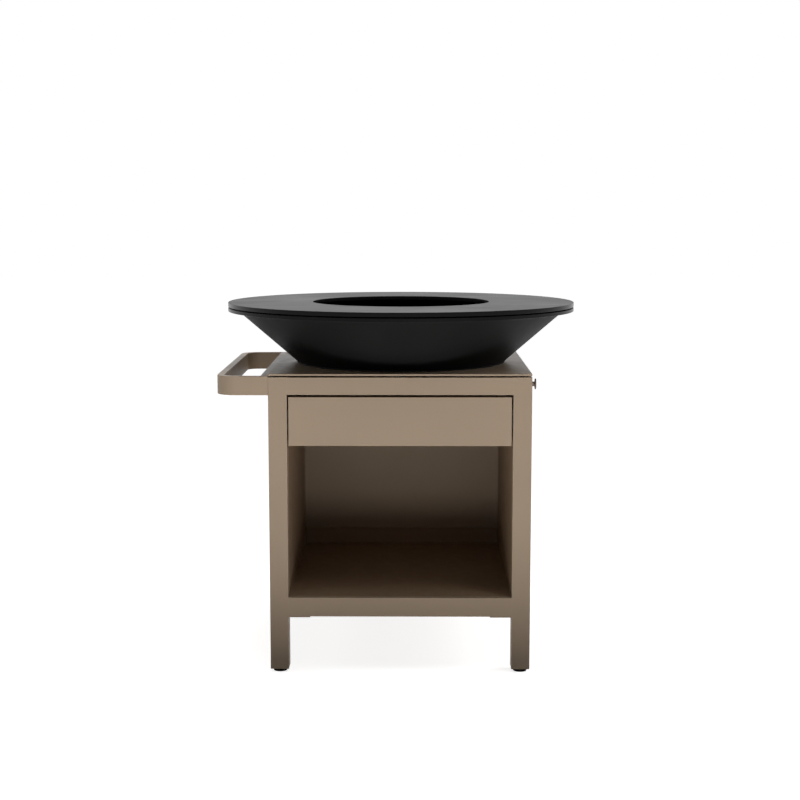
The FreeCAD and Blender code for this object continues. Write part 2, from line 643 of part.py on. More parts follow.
def make_side_handle():
    """Flat tube bent round two corners, with its ends against the side of the cabinet."""
    body = new_body("side_handle")
    bend = "(handle_corner - handle_thickness / 2)"
    arm_y = f"({HALF_DEPTH} - handle_thickness / 2)"
    bar_x = f"({HALF_WIDTH} + handle_reach - handle_thickness / 2)"
    start_x = number(f"-{HALF_WIDTH}")
    bend_x = number(f"{bend} - {bar_x}")
    bend_y = number(f"{arm_y} - {bend}")
    radius = number(bend)
    path = new_sketch(body, "path")
    front_arm = [FreeCAD.Vector(start_x, -number(arm_y), 0), FreeCAD.Vector(bend_x, -number(arm_y), 0)]
    bar = [FreeCAD.Vector(-number(bar_x), sign * bend_y, 0) for sign in (-1, 1)]
    rear_arm = [FreeCAD.Vector(bend_x, number(arm_y), 0), FreeCAD.Vector(start_x, number(arm_y), 0)]
    up = FreeCAD.Vector(0, 0, 1)
    front_bend = Part.Circle(FreeCAD.Vector(bend_x, -bend_y, 0), up, radius)
    rear_bend = Part.Circle(FreeCAD.Vector(bend_x, bend_y, 0), up, radius)
    path.addGeometry(Part.LineSegment(*front_arm), False)
    path.addGeometry(Part.ArcOfCircle(front_bend, math.pi, 1.5 * math.pi), False)
    path.addGeometry(Part.LineSegment(*bar), False)
    path.addGeometry(Part.ArcOfCircle(rear_bend, 0.5 * math.pi, math.pi), False)
    path.addGeometry(Part.LineSegment(*rear_arm), False)
    for first, first_end, second, second_end in ((0, 2, 1, 2), (1, 1, 2, 1), (2, 2, 3, 2), (3, 1, 4, 1)):
        path.addConstraint(Sketcher.Constraint("Tangent", first, first_end, second, second_end))
    for line, direction in ((0, "Horizontal"), (2, "Vertical"), (4, "Horizontal")):
        path.addConstraint(Sketcher.Constraint(direction, line))
    bound_size(path, "front_bend", bend, "Radius", 1)
    bound_size(path, "rear_bend", bend, "Radius", 3)
    bound_point(path, "front_end", 0, 1, f"-{HALF_WIDTH}", f"-{arm_y}")
    bound_point(path, "rear_end", 4, 2, f"-{HALF_WIDTH}", arm_y)
    bound_size(path, "bar_reach", bar_x, "DistanceX", 2, 1, -1, 1)
    section = new_sketch(body, "section", "YZ_Plane", f"-{HALF_WIDTH}")
    add_rectangle(section, "outside", "handle_thickness", "handle_height", f"-{arm_y}")
    inside = ("handle_thickness - 2 * tube_wall", "handle_height - 2 * tube_wall")
    add_rectangle(section, "inside", *inside, f"-{arm_y}")
    document.recompute()
    pipe = body.newObject("PartDesign::AdditivePipe", "side_handle_pipe")
    pipe.Profile = section
    pipe.Spine = (path, [f"Edge{index}" for index in range(1, 6)])
    document.recompute()
    place(body, z=HANDLE_MIDDLE)


def make_handle_fixing():
    """Tube between the ends of the handle, bolted to the upper left rail."""
    bar_length = "cabinet_depth - 2 * handle_thickness"
    bar = make_tube("handle_mount_bar", bar_length, "mount_bar_thickness", "handle_height")
    row = [f"{step} * handle_bolt_pitch" for step in (-1, 0, 1)]
    holes = [(y, f"{UPPER_RAIL_MIDDLE} - {HANDLE_MIDDLE}") for y in row]
    drill_tube(bar, "mount_bar_thickness", holes, "mount_bar_thickness", 1, "large_hole")
    place(bar, f"-({HALF_WIDTH} + mount_bar_thickness / 2)", "0", HANDLE_MIDDLE, RAIL_TURNS["left"])
    points = [(y, UPPER_RAIL_MIDDLE) for y in row]
    bolts = new_body("handle_bolts")
    level = f"-({HALF_WIDTH} + mount_bar_thickness)"
    length = "mount_bar_thickness + rail_thickness + large_nut_height + thread_excess"
    add_bolts(bolts, "bolts", "YZ_Plane", level, points, "large", length, -1)
    make_nuts("handle_nuts", "YZ_Plane", f"-{RAIL_X}", points, "large", 1)


def make_hook_knobs():
    """Flat-headed pegs in a row on the upper right rail, each with a stud through the rail."""
    body = new_body("hook_knobs")
    points = [(f"{step} * knob_pitch", UPPER_RAIL_MIDDLE) for step in (-1, 0, 1)]
    stud_length = "rail_thickness + medium_nut_height + thread_excess"
    stages = (
        ("neck", HALF_WIDTH, "knob_neck_radius", "knob_standoff", 1),
        ("stud", HALF_WIDTH, "medium_shank", stud_length, -1),
        ("disc", f"{HALF_WIDTH} + knob_standoff", "knob_radius", "knob_disc", 1),
    )
    for name, level, radius, length, towards in stages:
        outline = new_sketch(body, name, "YZ_Plane", level)
        for index, (y, z) in enumerate(points):
            add_circle(outline, f"{name}{index}", radius, y, z)
        solid = add_pad(body, outline, length, towards)
    add_bevel(body, solid, "knob_bevel", lambda edge: is_ring(edge, "knob_radius"))
    make_nuts("knob_nuts", "YZ_Plane", RAIL_X, points, "medium", -1)


# Drawer and its telescopic slides

def add_channel(sketch, name, side, back, face, tip, half):
    """Section of a slide member; back, face and tip are distances from the liner, half its half height."""
    lip = f"({half} - slide_gauge)"
    points = (
        (back, half),
        (tip, half),
        (tip, lip),
        (face, lip),
        (face, f"-{lip}"),
        (tip, f"-{lip}"),
        (tip, f"-{half}"),
        (back, f"-{half}"),
    )
    add_polygon(sketch, name, [(f"{side} * ({INNER_X} - {x})", f"{BOX_MIDDLE} + {z}") for x, z in points])


OUTER_HALF = "(slide_height / 2)"
MIDDLE_HALF = "(slide_height / 2 - slide_step)"
INNER_HALF = "(slide_height / 2 - 2 * slide_step)"
MIDDLE_BACK = "(slide_gauge + slide_play)"
MIDDLE_FACE = "(2 * slide_gauge + slide_play)"
INNER_FACE = "(slide_width - slide_gauge)"
CHANNELS = {
    "outer": ("0", "slide_gauge", f"({INNER_FACE} - slide_play)", OUTER_HALF),
    "middle": (MIDDLE_BACK, MIDDLE_FACE, f"({INNER_FACE} - slide_play)", MIDDLE_HALF),
    "inner": ("slide_width", INNER_FACE, f"({MIDDLE_FACE} + slide_play)", INNER_HALF),
}


def slide_screw_points():
    return [(f"{SLIDE_MIDDLE} + {step} * slide_screw_pitch", BOX_MIDDLE) for step in (-1, 0, 1)]


def make_slides():
    """Three nested channels on each side: fixed to the liner, floating, and fixed to the drawer box."""
    for name, side in SIDES.items():
        for member, shape in CHANNELS.items():
            body = new_body(f"{name}_slide_{member}")
            section = new_sketch(body, "section", "XZ_Plane", SLIDE_FRONT)
            add_channel(section, member, side, *shape)
            add_pad(body, section, "slide_length")
            if member == "inner":
                holes = new_sketch(body, "holes", "YZ_Plane", f"{side} * {BOX_HALF_WIDTH}")
                for index, (y, z) in enumerate(slide_screw_points()):
                    add_circle(holes, f"hole{index}", "small_hole", y, z)
                add_pocket(body, holes, "slide_gauge", side)


def make_ball_cages():
    """Strips between the raceways above and below: the outer set sits rearwards, the inner set forwards."""
    body = new_body("slide_ball_cages")
    height = "(slide_step - slide_gauge - 2 * cage_clearance)"
    middle_x = f"({INNER_X} - {INNER_FACE} + 2 * slide_play + cage_width / 2)"
    sets = {"outer": (OUTER_HALF, SLIDE_MIDDLE), "inner": (MIDDLE_HALF, SLIDE_FRONT)}
    for set_name, (half, front) in sets.items():
        rise = f"({half} - slide_gauge - cage_clearance - {height} / 2)"
        section = new_sketch(body, set_name, "XZ_Plane", f"{front} + cage_setback")
        for side_name, side in SIDES.items():
            for row_name, sign in (("upper", 1), ("lower", -1)):
                x = f"{side} * {middle_x}"
                z = f"{BOX_MIDDLE} + {sign} * {rise}"
                add_rectangle(section, f"{side_name}_{row_name}", "cage_width", height, x, z)
        add_pad(body, section, "cage_length")


def front_screw_points():
    x = f"({BOX_HALF_WIDTH} - front_screw_inset)"
    return [(f"{side} * {x}", f"{BOX_MIDDLE} + {row} * front_screw_rise") for side, row in CORNERS]


def make_drawer_front():
    """Folded front: a skin, edges turned back and a rear flange that the box is screwed to."""
    body = new_body("drawer_front")
    width = f"2 * {FRONT_HALF_WIDTH}"
    middle = f"{DRAWER_BOTTOM} + drawer_front_height / 2"
    layers = (
        ("skin", "0", "drawer_gauge", None),
        ("edges", "drawer_gauge", "drawer_front_depth - 2 * drawer_gauge", "drawer_gauge"),
        ("flange", "drawer_front_depth - drawer_gauge", "drawer_gauge", "drawer_flange"),
    )
    for name, setback, depth, border in layers:
        outline = new_sketch(body, name, "XZ_Plane", f"{setback} - {HALF_DEPTH}")
        add_rectangle(outline, "outside", width, "drawer_front_height", "0", middle)
        if border:
            open_height = f"drawer_front_height - 2 * {border}"
            add_rectangle(outline, "inside", f"{width} - 2 * {border}", open_height, "0", middle)
        add_pad(body, outline, depth)
    holes = new_sketch(body, "holes", "XZ_Plane", BOX_FRONT)
    for index, (x, z) in enumerate(front_screw_points()):
        add_circle(holes, f"hole{index}", "small_hole", x, z)
    folded = add_pocket(body, holes, "drawer_gauge", -1)
    face = number(f"-{HALF_DEPTH}")
    add_round(
        body,
        folded,
        "drawer_round",
        lambda edge: abs(edge.BoundBox.YMin - face) + edge.BoundBox.YLength < TINY,
    )


def make_drawer_box():
    """Open-topped sheet box with holes for the front screws and for the slide screws."""
    body = new_body("drawer_box")
    outline = new_sketch(body, "outline", "XY_Plane", BOX_BOTTOM)
    middle = f"{BOX_FRONT} + drawer_box_depth / 2"
    add_rectangle(outline, "box", f"2 * {BOX_HALF_WIDTH}", "drawer_box_depth", "0", middle)
    block = add_pad(body, outline, "drawer_box_height")
    add_shell(body, block, "drawer_gauge", "Z", f"{BOX_BOTTOM} + drawer_box_height")
    front_holes = new_sketch(body, "front_holes", "XZ_Plane", BOX_FRONT)
    for index, (x, z) in enumerate(front_screw_points()):
        add_circle(front_holes, f"hole{index}", "small_hole", x, z)
    add_pocket(body, front_holes, "drawer_gauge", 1)
    side_holes = new_sketch(body, "side_holes", "YZ_Plane", f"-{BOX_HALF_WIDTH}")
    for index, (y, z) in enumerate(slide_screw_points()):
        add_circle(side_holes, f"hole{index}", "small_hole", y, z)
    add_pocket(body, side_holes, f"2 * {BOX_HALF_WIDTH}", 1)


def make_drawer_screws():
    """Screws from inside the box: through its front wall, and through its sides into the slides."""
    front = new_body("drawer_front_screws")
    level = f"{BOX_FRONT} + drawer_gauge"
    add_bolts(front, "front", "XZ_Plane", level, front_screw_points(), "small", "front_screw_length", 1)
    sides = new_body("slide_screws")
    length = "drawer_gauge + slide_gauge + slide_play"
    for name, side in SIDES.items():
        level = f"{side} * ({BOX_HALF_WIDTH} - drawer_gauge)"
        add_bolts(sides, name, "YZ_Plane", level, slide_screw_points(), "small", length, -side)


# Fire bowl and griddle plate

def make_fire_bowl():
    """Conical bowl of plate with a flat floor, open at the top."""
    body = new_body("fire_bowl")
    profile = new_sketch(body, "profile", "XZ_Plane")
    corners = (
        ("0", "0"),
        ("bowl_base_radius", "0"),
        ("bowl_top_radius", "bowl_height"),
        ("0", "bowl_height"),
    )
    add_polygon(profile, "corner", corners)
    cone = add_revolution(body, profile)
    add_shell(body, cone, "bowl_wall", "Z", "bowl_height")
    holes = new_sketch(body, "holes")
    for index, (x, y) in enumerate(bowl_bolt_points()):
        add_circle(holes, f"hole{index}", "large_hole", x, y)
    add_pocket(body, holes, "bowl_wall", 1)
    place(body, z=BOWL_BOTTOM)


def make_ring(label, inner, outer, thickness, bottom):
    """Flat round plate with a hole, bevelled at its outer edges and at the upper edge of its hole."""
    body = new_body(label)
    outline = new_sketch(body, "outline")
    add_circle(outline, "outside", outer)
    add_circle(outline, "inside", inner)
    disc = add_pad(body, outline, thickness)
    add_bevel(
        body,
        disc,
        "plate_bevel",
        lambda edge: is_ring(edge, outer) or is_ring(edge, inner, thickness),
    )
    place(body, z=bottom)


def make_bowl_fixing():
    """Round plate between the bowl and the top panel, and the bolts through all three."""
    points = bowl_bolt_points()
    plate = new_body("bowl_base_plate")
    outline = new_sketch(plate, "outline")
    add_circle(outline, "outside", "bowl_base_radius")
    for index, (x, y) in enumerate(points):
        add_circle(outline, f"bore{index}", "large_hole", x, y)
    add_pad(plate, outline, "base_plate_height")
    place(plate, z=TOP_SURFACE)
    bolts = new_body("bowl_bolts")
    length = "bowl_wall + base_plate_height + top_thickness + large_nut_height + thread_excess"
    add_bolts(bolts, "bolts", "XY_Plane", f"{BOWL_BOTTOM} + bowl_wall", points, "large", length, 1)
    make_nuts("bowl_nuts", "XY_Plane", TOP_UNDERSIDE, points, "large", -1)


PAD_ANGLES = range(30, 390, 60)


def make_plate_pads():
    """Six pads on the rim that carry the griddle plate and leave the gap under it."""
    body = new_body("plate_pads")
    outline = new_sketch(body, "outline")
    for angle in PAD_ANGLES:
        x = f"pad_circle * cos({angle})"
        y = f"pad_circle * sin({angle})"
        add_circle(outline, f"pad{angle}", "pad_radius", x, y)
    add_pad(body, outline, "plate_gap")
    place(body, z=RIM_SURFACE)


def make_plate_lugs():
    """Four lugs under the griddle plate that keep it centred inside the rim."""
    body = new_body("plate_lugs")
    outline = new_sketch(body, "outline")
    reach = "(rim_inner_radius - lug_play - lug_thickness / 2)"
    for name, sign in (("low", -1), ("high", 1)):
        add_rectangle(outline, f"across_{name}", "lug_thickness", "lug_width", f"{sign} * {reach}", "0")
        add_rectangle(outline, f"along_{name}", "lug_width", "lug_thickness", "0", f"{sign} * {reach}")
    add_pad(body, outline, "lug_depth", -1)
    place(body, z=PLATE_BOTTOM)


# Build, check and write every sub-part

def build():
    for end_name, end in ENDS.items():
        for side_name, side in SIDES.items():
            make_post(f"{end_name}_{side_name}_post", side, end)
            make_foot(f"{end_name}_{side_name}_foot", side, end)
    make_rails()
    make_gussets()
    make_post_plugs()
    make_storage_floor()
    make_sides()
    make_back_panel()
    make_heat_shield()
    make_top_panel()
    make_top_spacers()
    make_top_brackets()
    make_side_handle()
    make_handle_fixing()
    make_hook_knobs()
    make_slides()
    make_ball_cages()
    make_drawer_front()
    make_drawer_box()
    make_drawer_screws()
    make_fire_bowl()
    make_ring("bowl_rim", "rim_inner_radius", "plate_radius", "rim_thickness", RIM_BOTTOM)
    make_bowl_fixing()
    make_plate_pads()
    make_ring("plancha_plate", "plate_hole_radius", "plate_radius", "plate_thickness", PLATE_BOTTOM)
    make_plate_lugs()
    document.recompute()


def check():
    failed = [item.Name for item in document.Objects if {"Invalid", "Error"} & set(item.State)]
    if failed:
        raise RuntimeError(f"failed objects: {failed}")
    bodies = [item for item in document.Objects if item.TypeId == "PartDesign::Body"]
    for body in bodies:
        if body.Shape.isNull() or not body.Shape.isValid() or not body.Shape.Solids:
            raise RuntimeError(f"{body.Label} has no valid solid")
    return bodies


def write(bodies):
    os.makedirs("parts", exist_ok=True)
    for body in bodies:
        body.Shape.exportStep(f"parts/{body.Label}.step")
        box = body.Shape.BoundBox
        low = f"{box.XMin:8.1f} {box.YMin:8.1f} {box.ZMin:8.1f}"
        high = f"{box.XMax:8.1f} {box.YMax:8.1f} {box.ZMax:8.1f}"
        print(f"{body.Label:22s} solids {len(body.Shape.Solids)}  {low}  to {high}")


build()
write(check())
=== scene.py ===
import json
import math

import bmesh
import bpy
from mathutils import Matrix, Vector


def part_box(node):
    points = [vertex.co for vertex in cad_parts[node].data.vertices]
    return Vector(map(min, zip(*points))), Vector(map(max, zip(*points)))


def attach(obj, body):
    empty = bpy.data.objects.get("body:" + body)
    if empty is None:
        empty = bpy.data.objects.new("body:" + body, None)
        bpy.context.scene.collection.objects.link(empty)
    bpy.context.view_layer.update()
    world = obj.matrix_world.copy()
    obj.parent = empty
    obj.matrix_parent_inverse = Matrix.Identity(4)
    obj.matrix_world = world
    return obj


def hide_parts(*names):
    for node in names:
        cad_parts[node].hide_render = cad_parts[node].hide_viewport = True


# Looks of the outdoor plancha module: finishes, turned parts with rounded edges, fasteners with
# sockets, threads and ball cages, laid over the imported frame. Lengths are metres in the frame of the
# part: +Z up, the front faces -Y, the ground is Z 0.

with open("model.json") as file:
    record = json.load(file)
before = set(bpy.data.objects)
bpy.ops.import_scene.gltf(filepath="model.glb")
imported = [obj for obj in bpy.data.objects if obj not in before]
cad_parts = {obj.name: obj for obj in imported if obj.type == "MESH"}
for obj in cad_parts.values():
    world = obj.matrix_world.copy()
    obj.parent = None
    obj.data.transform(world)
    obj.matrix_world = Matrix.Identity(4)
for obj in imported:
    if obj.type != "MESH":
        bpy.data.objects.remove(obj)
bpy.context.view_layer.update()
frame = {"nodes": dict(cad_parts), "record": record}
nodes = frame["nodes"]
slot_of = {row["node"]: row["material_slot"] for row in frame["record"]["subparts"]}
bodies = frame["record"]["behaviour"]["bodies"]
body_of = {node: body for body, members in bodies.items() for node in members}

MM = 0.001
FULL_TURN = 2 * math.pi
CORNERS = [f"{end}_{side}" for end in ("front", "rear") for side in ("left", "right")]


# Materials

class Finish:
    """A node material under construction, textured in the coordinates of the part."""

    def __init__(self, name):
        self.material = bpy.data.materials.new(name)
        self.material.use_nodes = True
        self.nodes = self.material.node_tree.nodes
        self.links = self.material.node_tree.links
        self.surface = self.nodes["Principled BSDF"]
        self.place = self.node("ShaderNodeTexCoord").outputs["Object"]

    def node(self, kind, **settings):
        made = self.nodes.new(kind)
        for name, value in settings.items():
            setattr(made, name, value)
        return made

    def feed(self, socket, value):
        """Joins an output to an input, or sets the input to a constant."""
        if isinstance(value, bpy.types.NodeSocket):
            self.links.new(value, socket)
        else:
            socket.default_value = value

    def noise(self, scale, detail=2.0, stretch=None, distortion=0.0):
        """Noise with about scale grains per metre, drawn out along an axis where stretch is given."""
        texture = self.node("ShaderNodeTexNoise")
        texture.inputs["Scale"].default_value = scale
        texture.inputs["Detail"].default_value = detail
        texture.inputs["Distortion"].default_value = distortion
        place = self.place
        if stretch:
            mapping = self.node("ShaderNodeMapping")
            mapping.inputs["Scale"].default_value = stretch
            self.links.new(place, mapping.inputs["Vector"])
            place = mapping.outputs["Vector"]
        self.links.new(place, texture.inputs["Vector"])
        return texture.outputs["Fac"]

    def spread(self, value, low, high, start=0.3, stop=0.7):
        """Maps a value from start..stop to low..high."""
        node = self.node("ShaderNodeMapRange")
        self.links.new(value, node.inputs["Value"])
        for name, number in (("From Min", start), ("From Max", stop), ("To Min", low), ("To Max", high)):
            node.inputs[name].default_value = number
        return node.outputs["Result"]

    def maths(self, operation, first, second):
        node = self.node("ShaderNodeMath", operation=operation)
        self.feed(node.inputs[0], first)
        self.feed(node.inputs[1], second)
        return node.outputs["Value"]

    def blend(self, share, first, second):
        """Mixes two colours by a share."""
        node = self.node("ShaderNodeMix", data_type="RGBA")
        self.feed(node.inputs["Factor"], share)
        for socket, colour in ((node.inputs["A"], first), (node.inputs["B"], second)):
            self.feed(socket, (*colour, 1.0) if isinstance(colour, tuple) else colour)
        return node.outputs["Result"]

    def edges(self, radius):
        """Share of 0 on flat faces that rises within a radius of a sharp edge."""
        bevel = self.node("ShaderNodeBevel", samples=4)
        bevel.inputs["Radius"].default_value = radius
        geometry = self.node("ShaderNodeNewGeometry")
        dot = self.node("ShaderNodeVectorMath", operation="DOT_PRODUCT")
        self.links.new(bevel.outputs["Normal"], dot.inputs[0])
        self.links.new(geometry.outputs["True Normal"], dot.inputs[1])
        return self.spread(dot.outputs["Value"], 1.0, 0.0, 0.75, 0.99)

    def worn(self, colour, radius, share, bare):
        """A colour that gives way to a bare one by a share, within a radius of sharp edges."""
        return self.blend(self.maths("MULTIPLY", self.edges(radius), share), colour, bare)

    def relief(self, *layers):
        """Bump from (height, strength, depth) layers."""
        normal = None
        for height, strength, depth in layers:
            bump = self.node("ShaderNodeBump")
            bump.inputs["Strength"].default_value = strength
            bump.inputs["Distance"].default_value = depth
            self.links.new(height, bump.inputs["Height"])
            if normal:
                self.links.new(normal, bump.inputs["Normal"])
            normal = bump.outputs["Normal"]
        self.links.new(normal, self.surface.inputs["Normal"])

    def paint(self, colour, roughness, metallic=0.0, specular=0.5):
        for name, value in (("Base Color", colour), ("Roughness", roughness)):
            self.feed(self.surface.inputs[name], value)
        self.surface.inputs["Metallic"].default_value = metallic
        self.surface.inputs["Specular IOR Level"].default_value = specular
        return self.material


def shade(colour, factor):
    return tuple(channel * factor for channel in colour)


TAUPE = (0.300, 0.229, 0.164)
# Frame taupe made darker and browner for the sheets inside the bay: painted shade of the recess.
BAY_SHADE_TAUPE = (0.240, 0.163, 0.104)
KNOB_TAUPE = (0.190, 0.160, 0.140)


def upper_share(finish):
    """1 on faces that look up, 0 on upright faces and undersides."""
    geometry = finish.node("ShaderNodeNewGeometry")
    parts = finish.node("ShaderNodeSeparateXYZ")
    finish.links.new(geometry.outputs["Normal"], parts.inputs["Vector"])
    return finish.spread(parts.outputs["Z"], 0.0, 1.0, 0.3, 0.9)


def make_frame_paint(name, colour, smoothest, dullest):
    """Fine-grained satin powder coat, thinner and paler on the edges, wiped smoother on top."""
    finish = Finish(name)
    cloud = finish.noise(3.0, 3.0)
    speck = finish.noise(800.0, 2.0)
    toned = finish.blend(finish.spread(cloud, 0.0, 1.0), shade(colour, 0.965), shade(colour, 1.035))
    grained = finish.blend(finish.spread(speck, 0.0, 0.10), toned, shade(colour, 0.6))
    worn = finish.worn(grained, 1.2 * MM, 0.2, shade(colour, 1.6))
    peel = finish.noise(260.0, 2.0)
    finish.relief((peel, 0.10, 0.25 * MM), (speck, 0.14, 0.10 * MM))
    dull = finish.spread(finish.noise(40.0, 3.0), smoothest, dullest)
    wiped = finish.maths("MULTIPLY", upper_share(finish), 0.11)
    return finish.paint(worn, finish.maths("SUBTRACT", dull, wiped), specular=0.17)


def inner_share(finish):
    """1 on faces that look towards the upright middle axis, 0 on the others."""
    geometry = finish.node("ShaderNodeNewGeometry")
    flat = finish.node("ShaderNodeVectorMath", operation="MULTIPLY")
    flat.inputs[1].default_value = (1.0, 1.0, 0.0)
    finish.links.new(finish.place, flat.inputs[0])
    dot = finish.node("ShaderNodeVectorMath", operation="DOT_PRODUCT")
    finish.links.new(flat.outputs["Vector"], dot.inputs[0])
    finish.links.new(geometry.outputs["Normal"], dot.inputs[1])
    return finish.spread(dot.outputs["Value"], 1.0, 0.0, -0.05, 0.0)


def make_bowl_coat(name, smoothest, dullest):
    """Charcoal heat-proof coat with a dry, slightly cloudy surface, duller and sootier inside."""
    finish = Finish(name)
    cloud = finish.noise(9.0, 5.0)
    speck = finish.noise(700.0, 2.0)
    clouded = finish.spread(cloud, 0.0, 1.0)
    outside = finish.blend(clouded, (0.0042, 0.0042, 0.0043), (0.0062, 0.0062, 0.0062))
    soot = finish.blend(clouded, (0.0020, 0.0019, 0.0018), (0.0050, 0.0046, 0.0042))
    inner = inner_share(finish)
    worn = finish.worn(finish.blend(inner, outside, soot), 1.0 * MM, 0.25, (0.03, 0.03, 0.03))
    dull = finish.spread(cloud, smoothest, dullest)
    roughness = finish.maths("ADD", dull, finish.maths("MULTIPLY", inner, 0.2))
    finish.relief((finish.noise(220.0, 3.0), 0.08, 0.25 * MM), (speck, 0.18, 0.10 * MM))
    return finish.paint(worn, roughness, specular=0.07)


def make_griddle_steel():
    """Dark seasoned plate: faint mill streaks and a patchy oil film on top, oxide black cut edges."""
    finish = Finish("seasoned_griddle_steel")
    streak = finish.noise(60.0, 4.0, stretch=(0.12, 2.4, 1.0))
    patch = finish.noise(6.0, 5.0, distortion=0.6)
    speck = finish.noise(900.0, 2.0)
    film = finish.blend(finish.spread(patch, 0.0, 1.0), (0.012, 0.012, 0.0125), (0.026, 0.026, 0.0265))
    streaked = finish.blend(finish.spread(streak, 0.0, 0.6), film, (0.042, 0.042, 0.043))
    top = upper_share(finish)
    toned = finish.blend(top, (0.0015, 0.0015, 0.0016), streaked)
    worn = finish.worn(toned, 0.8 * MM, 0.12, (0.05, 0.05, 0.05))
    grain = finish.maths("ADD", finish.spread(patch, 0.12, 0.20), finish.spread(streak, -0.04, 0.06))
    roughness = finish.maths("ADD", finish.maths("MULTIPLY", grain, top), 0.24)
    finish.relief((streak, 0.06, 0.20 * MM), (speck, 0.12, 0.08 * MM))
    return finish.paint(worn, roughness, specular=0.11)


def make_foot_plastic():
    """Moulded black plastic with a fine spark-eroded grain, scuffed at its edges."""
    finish = Finish("black_moulded_plastic")
    grain = finish.noise(1400.0, 2.0)
    cloud = finish.noise(30.0, 3.0)
    base = finish.blend(finish.spread(cloud, 0.0, 1.0), (0.002, 0.002, 0.002), (0.004, 0.0038, 0.0036))
    worn = finish.worn(base, 0.8 * MM, 0.2, (0.02, 0.02, 0.02))
    finish.relief((grain, 0.2, 0.08 * MM))
    return finish.paint(worn, finish.spread(cloud, 0.54, 0.68), specular=0.03)


def make_spacer_rubber():
    """Dull black rubber with a dusty bloom."""
    finish = Finish("dull_spacer_rubber")
    bloom = finish.noise(90.0, 4.0)
    base = finish.blend(finish.spread(bloom, 0.0, 1.0), (0.008, 0.008, 0.008), (0.020, 0.020, 0.019))
    finish.relief((finish.noise(1100.0, 2.0), 0.2, 0.08 * MM))
    return finish.paint(base, finish.spread(bloom, 0.72, 0.88), specular=0.3)


def make_zinc_steel():
    """Bright zinc plate with a faint spangle, drawn lines and duller patches."""
    finish = Finish("zinc_plated_steel")
    spangle = finish.noise(160.0, 3.0)
    drawn = finish.noise(300.0, 3.0, stretch=(1.0, 0.05, 1.0))
    base = finish.blend(finish.spread(spangle, 0.0, 1.0), (0.44, 0.45, 0.46), (0.58, 0.59, 0.60))
    worn = finish.worn(base, 0.6 * MM, 0.4, (0.74, 0.74, 0.74))
    roughness = finish.maths("ADD", finish.spread(spangle, 0.26, 0.38), finish.spread(drawn, 0.0, 0.08))
    finish.relief((drawn, 0.08, 0.06 * MM))
    return finish.paint(worn, roughness, metallic=1.0)


FINISHES = {
    "frame_paint": make_frame_paint("taupe_powder_coat", TAUPE, 0.42, 0.52),
    "knob_coat": make_frame_paint("dark_knob_coat", KNOB_TAUPE, 0.42, 0.52),
    "bowl_coat": make_bowl_coat("charcoal_heat_coat", 0.58, 0.68),
    "griddle_steel": make_griddle_steel(),
    "foot_plastic": make_foot_plastic(),
    "spacer_rubber": make_spacer_rubber(),
    "zinc_steel": make_zinc_steel(),
}
# The sheets inside the bay carry painted shade: their coat is darker and browner, and also duller.
# That of the flat rim is smoother than on the spun bowl.
bay_shade_paint = make_frame_paint("taupe_powder_coat_painted_bay_shade", BAY_SHADE_TAUPE, 0.48, 0.58)
OWN_FINISHES = {
    "left_liner": bay_shade_paint,
    "right_liner": bay_shade_paint,
    "storage_floor": bay_shade_paint,
    "bowl_rim": make_bowl_coat("charcoal_heat_coat_smooth", 0.20, 0.28),
}


def finish_of(node):
    return OWN_FINISHES.get(node) or FINISHES[slot_of[node]]


for node, cad in nodes.items():
    cad.data.materials.clear()
    cad.data.materials.append(finish_of(node))


# Mesh building

def points_of(node):
    """Points of each separate solid of a CAD node, one list per solid."""
    mesh = bmesh.new()
    mesh.from_mesh(nodes[node].data)
    bmesh.ops.remove_doubles(mesh, verts=mesh.verts, dist=0.001 * MM)
    mesh.verts.ensure_lookup_table()
    mesh.verts.index_update()
    seen = [False] * len(mesh.verts)
    solids = []
    for start in mesh.verts:
        if seen[start.index]:
            continue
        seen[start.index] = True
        waiting = [start]
        points = []
        while waiting:
            vert = waiting.pop()
            points.append(vert.co.copy())
            for edge in vert.link_edges:
                other = edge.other_vert(vert)
                if not seen[other.index]:
                    seen[other.index] = True
                    waiting.append(other)
        solids.append(points)
    mesh.free()
    return solids


def limits(points):
    low = Vector([min(point[axis] for point in points) for axis in range(3)])
    high = Vector([max(point[axis] for point in points) for axis in range(3)])
    return low, high


def inner_radius(node, height=None):
    """Smallest distance of a node's points from the upright middle axis, at one height if given."""
    points = [vert.co for vert in nodes[node].data.vertices]
    if height is not None:
        points = [point for point in points if abs(point.z - height) < 0.05 * MM]
    return min(math.hypot(point.x, point.y) for point in points)


def round_corners(corners, steps=4):
    """A closed outline of (x, y, radius) corners, with arcs at the corners that have a radius."""
    outline = []
    for index, (x, y, radius) in enumerate(corners):
        corner = Vector((x, y))
        if not radius:
            outline.append(corner)
            continue
        before = (Vector(corners[index - 1][:2]) - corner).normalized()
        after = (Vector(corners[(index + 1) % len(corners)][:2]) - corner).normalized()
        half = before.angle(after) / 2
        middle = corner + (before + after).normalized() * (radius / math.sin(half))
        first = corner + before * (radius / math.tan(half)) - middle
        last = corner + after * (radius / math.tan(half)) - middle
        start = math.atan2(first.y, first.x)
        sweep = (math.atan2(last.y, last.x) - start + math.pi) % FULL_TURN - math.pi
        for step in range(steps + 1):
            angle = start + sweep * step / steps
            outline.append(middle + radius * Vector((math.cos(angle), math.sin(angle))))
    return outline


def rectangle(near, far, radius):
    """Outline of a rectangle between two opposite corners, all four of them rounded."""
    corners = [near, (far[0], near[1]), far, (near[0], far[1])]
    return round_corners([(x, y, radius) for x, y in corners])


def plate_profile(start, wide, low, high, edge):
    """Profile of a round plate, from a small flat in its middle to its rounded outer edges."""
    return round_corners([(start, low, 0.0), (wide, low, edge), (wide, high, edge), (start, high, 0.0)])


def thread(outer, inner, start, stop, pitch):
    """Rows of a ridged thread, crest and root in turn. A negative pitch runs down."""
    rows = []
    height = start
    while (stop - height) * pitch > 0.0:
        rows += [(outer, height), (inner, height + pitch / 2)]
        height += pitch
    return rows


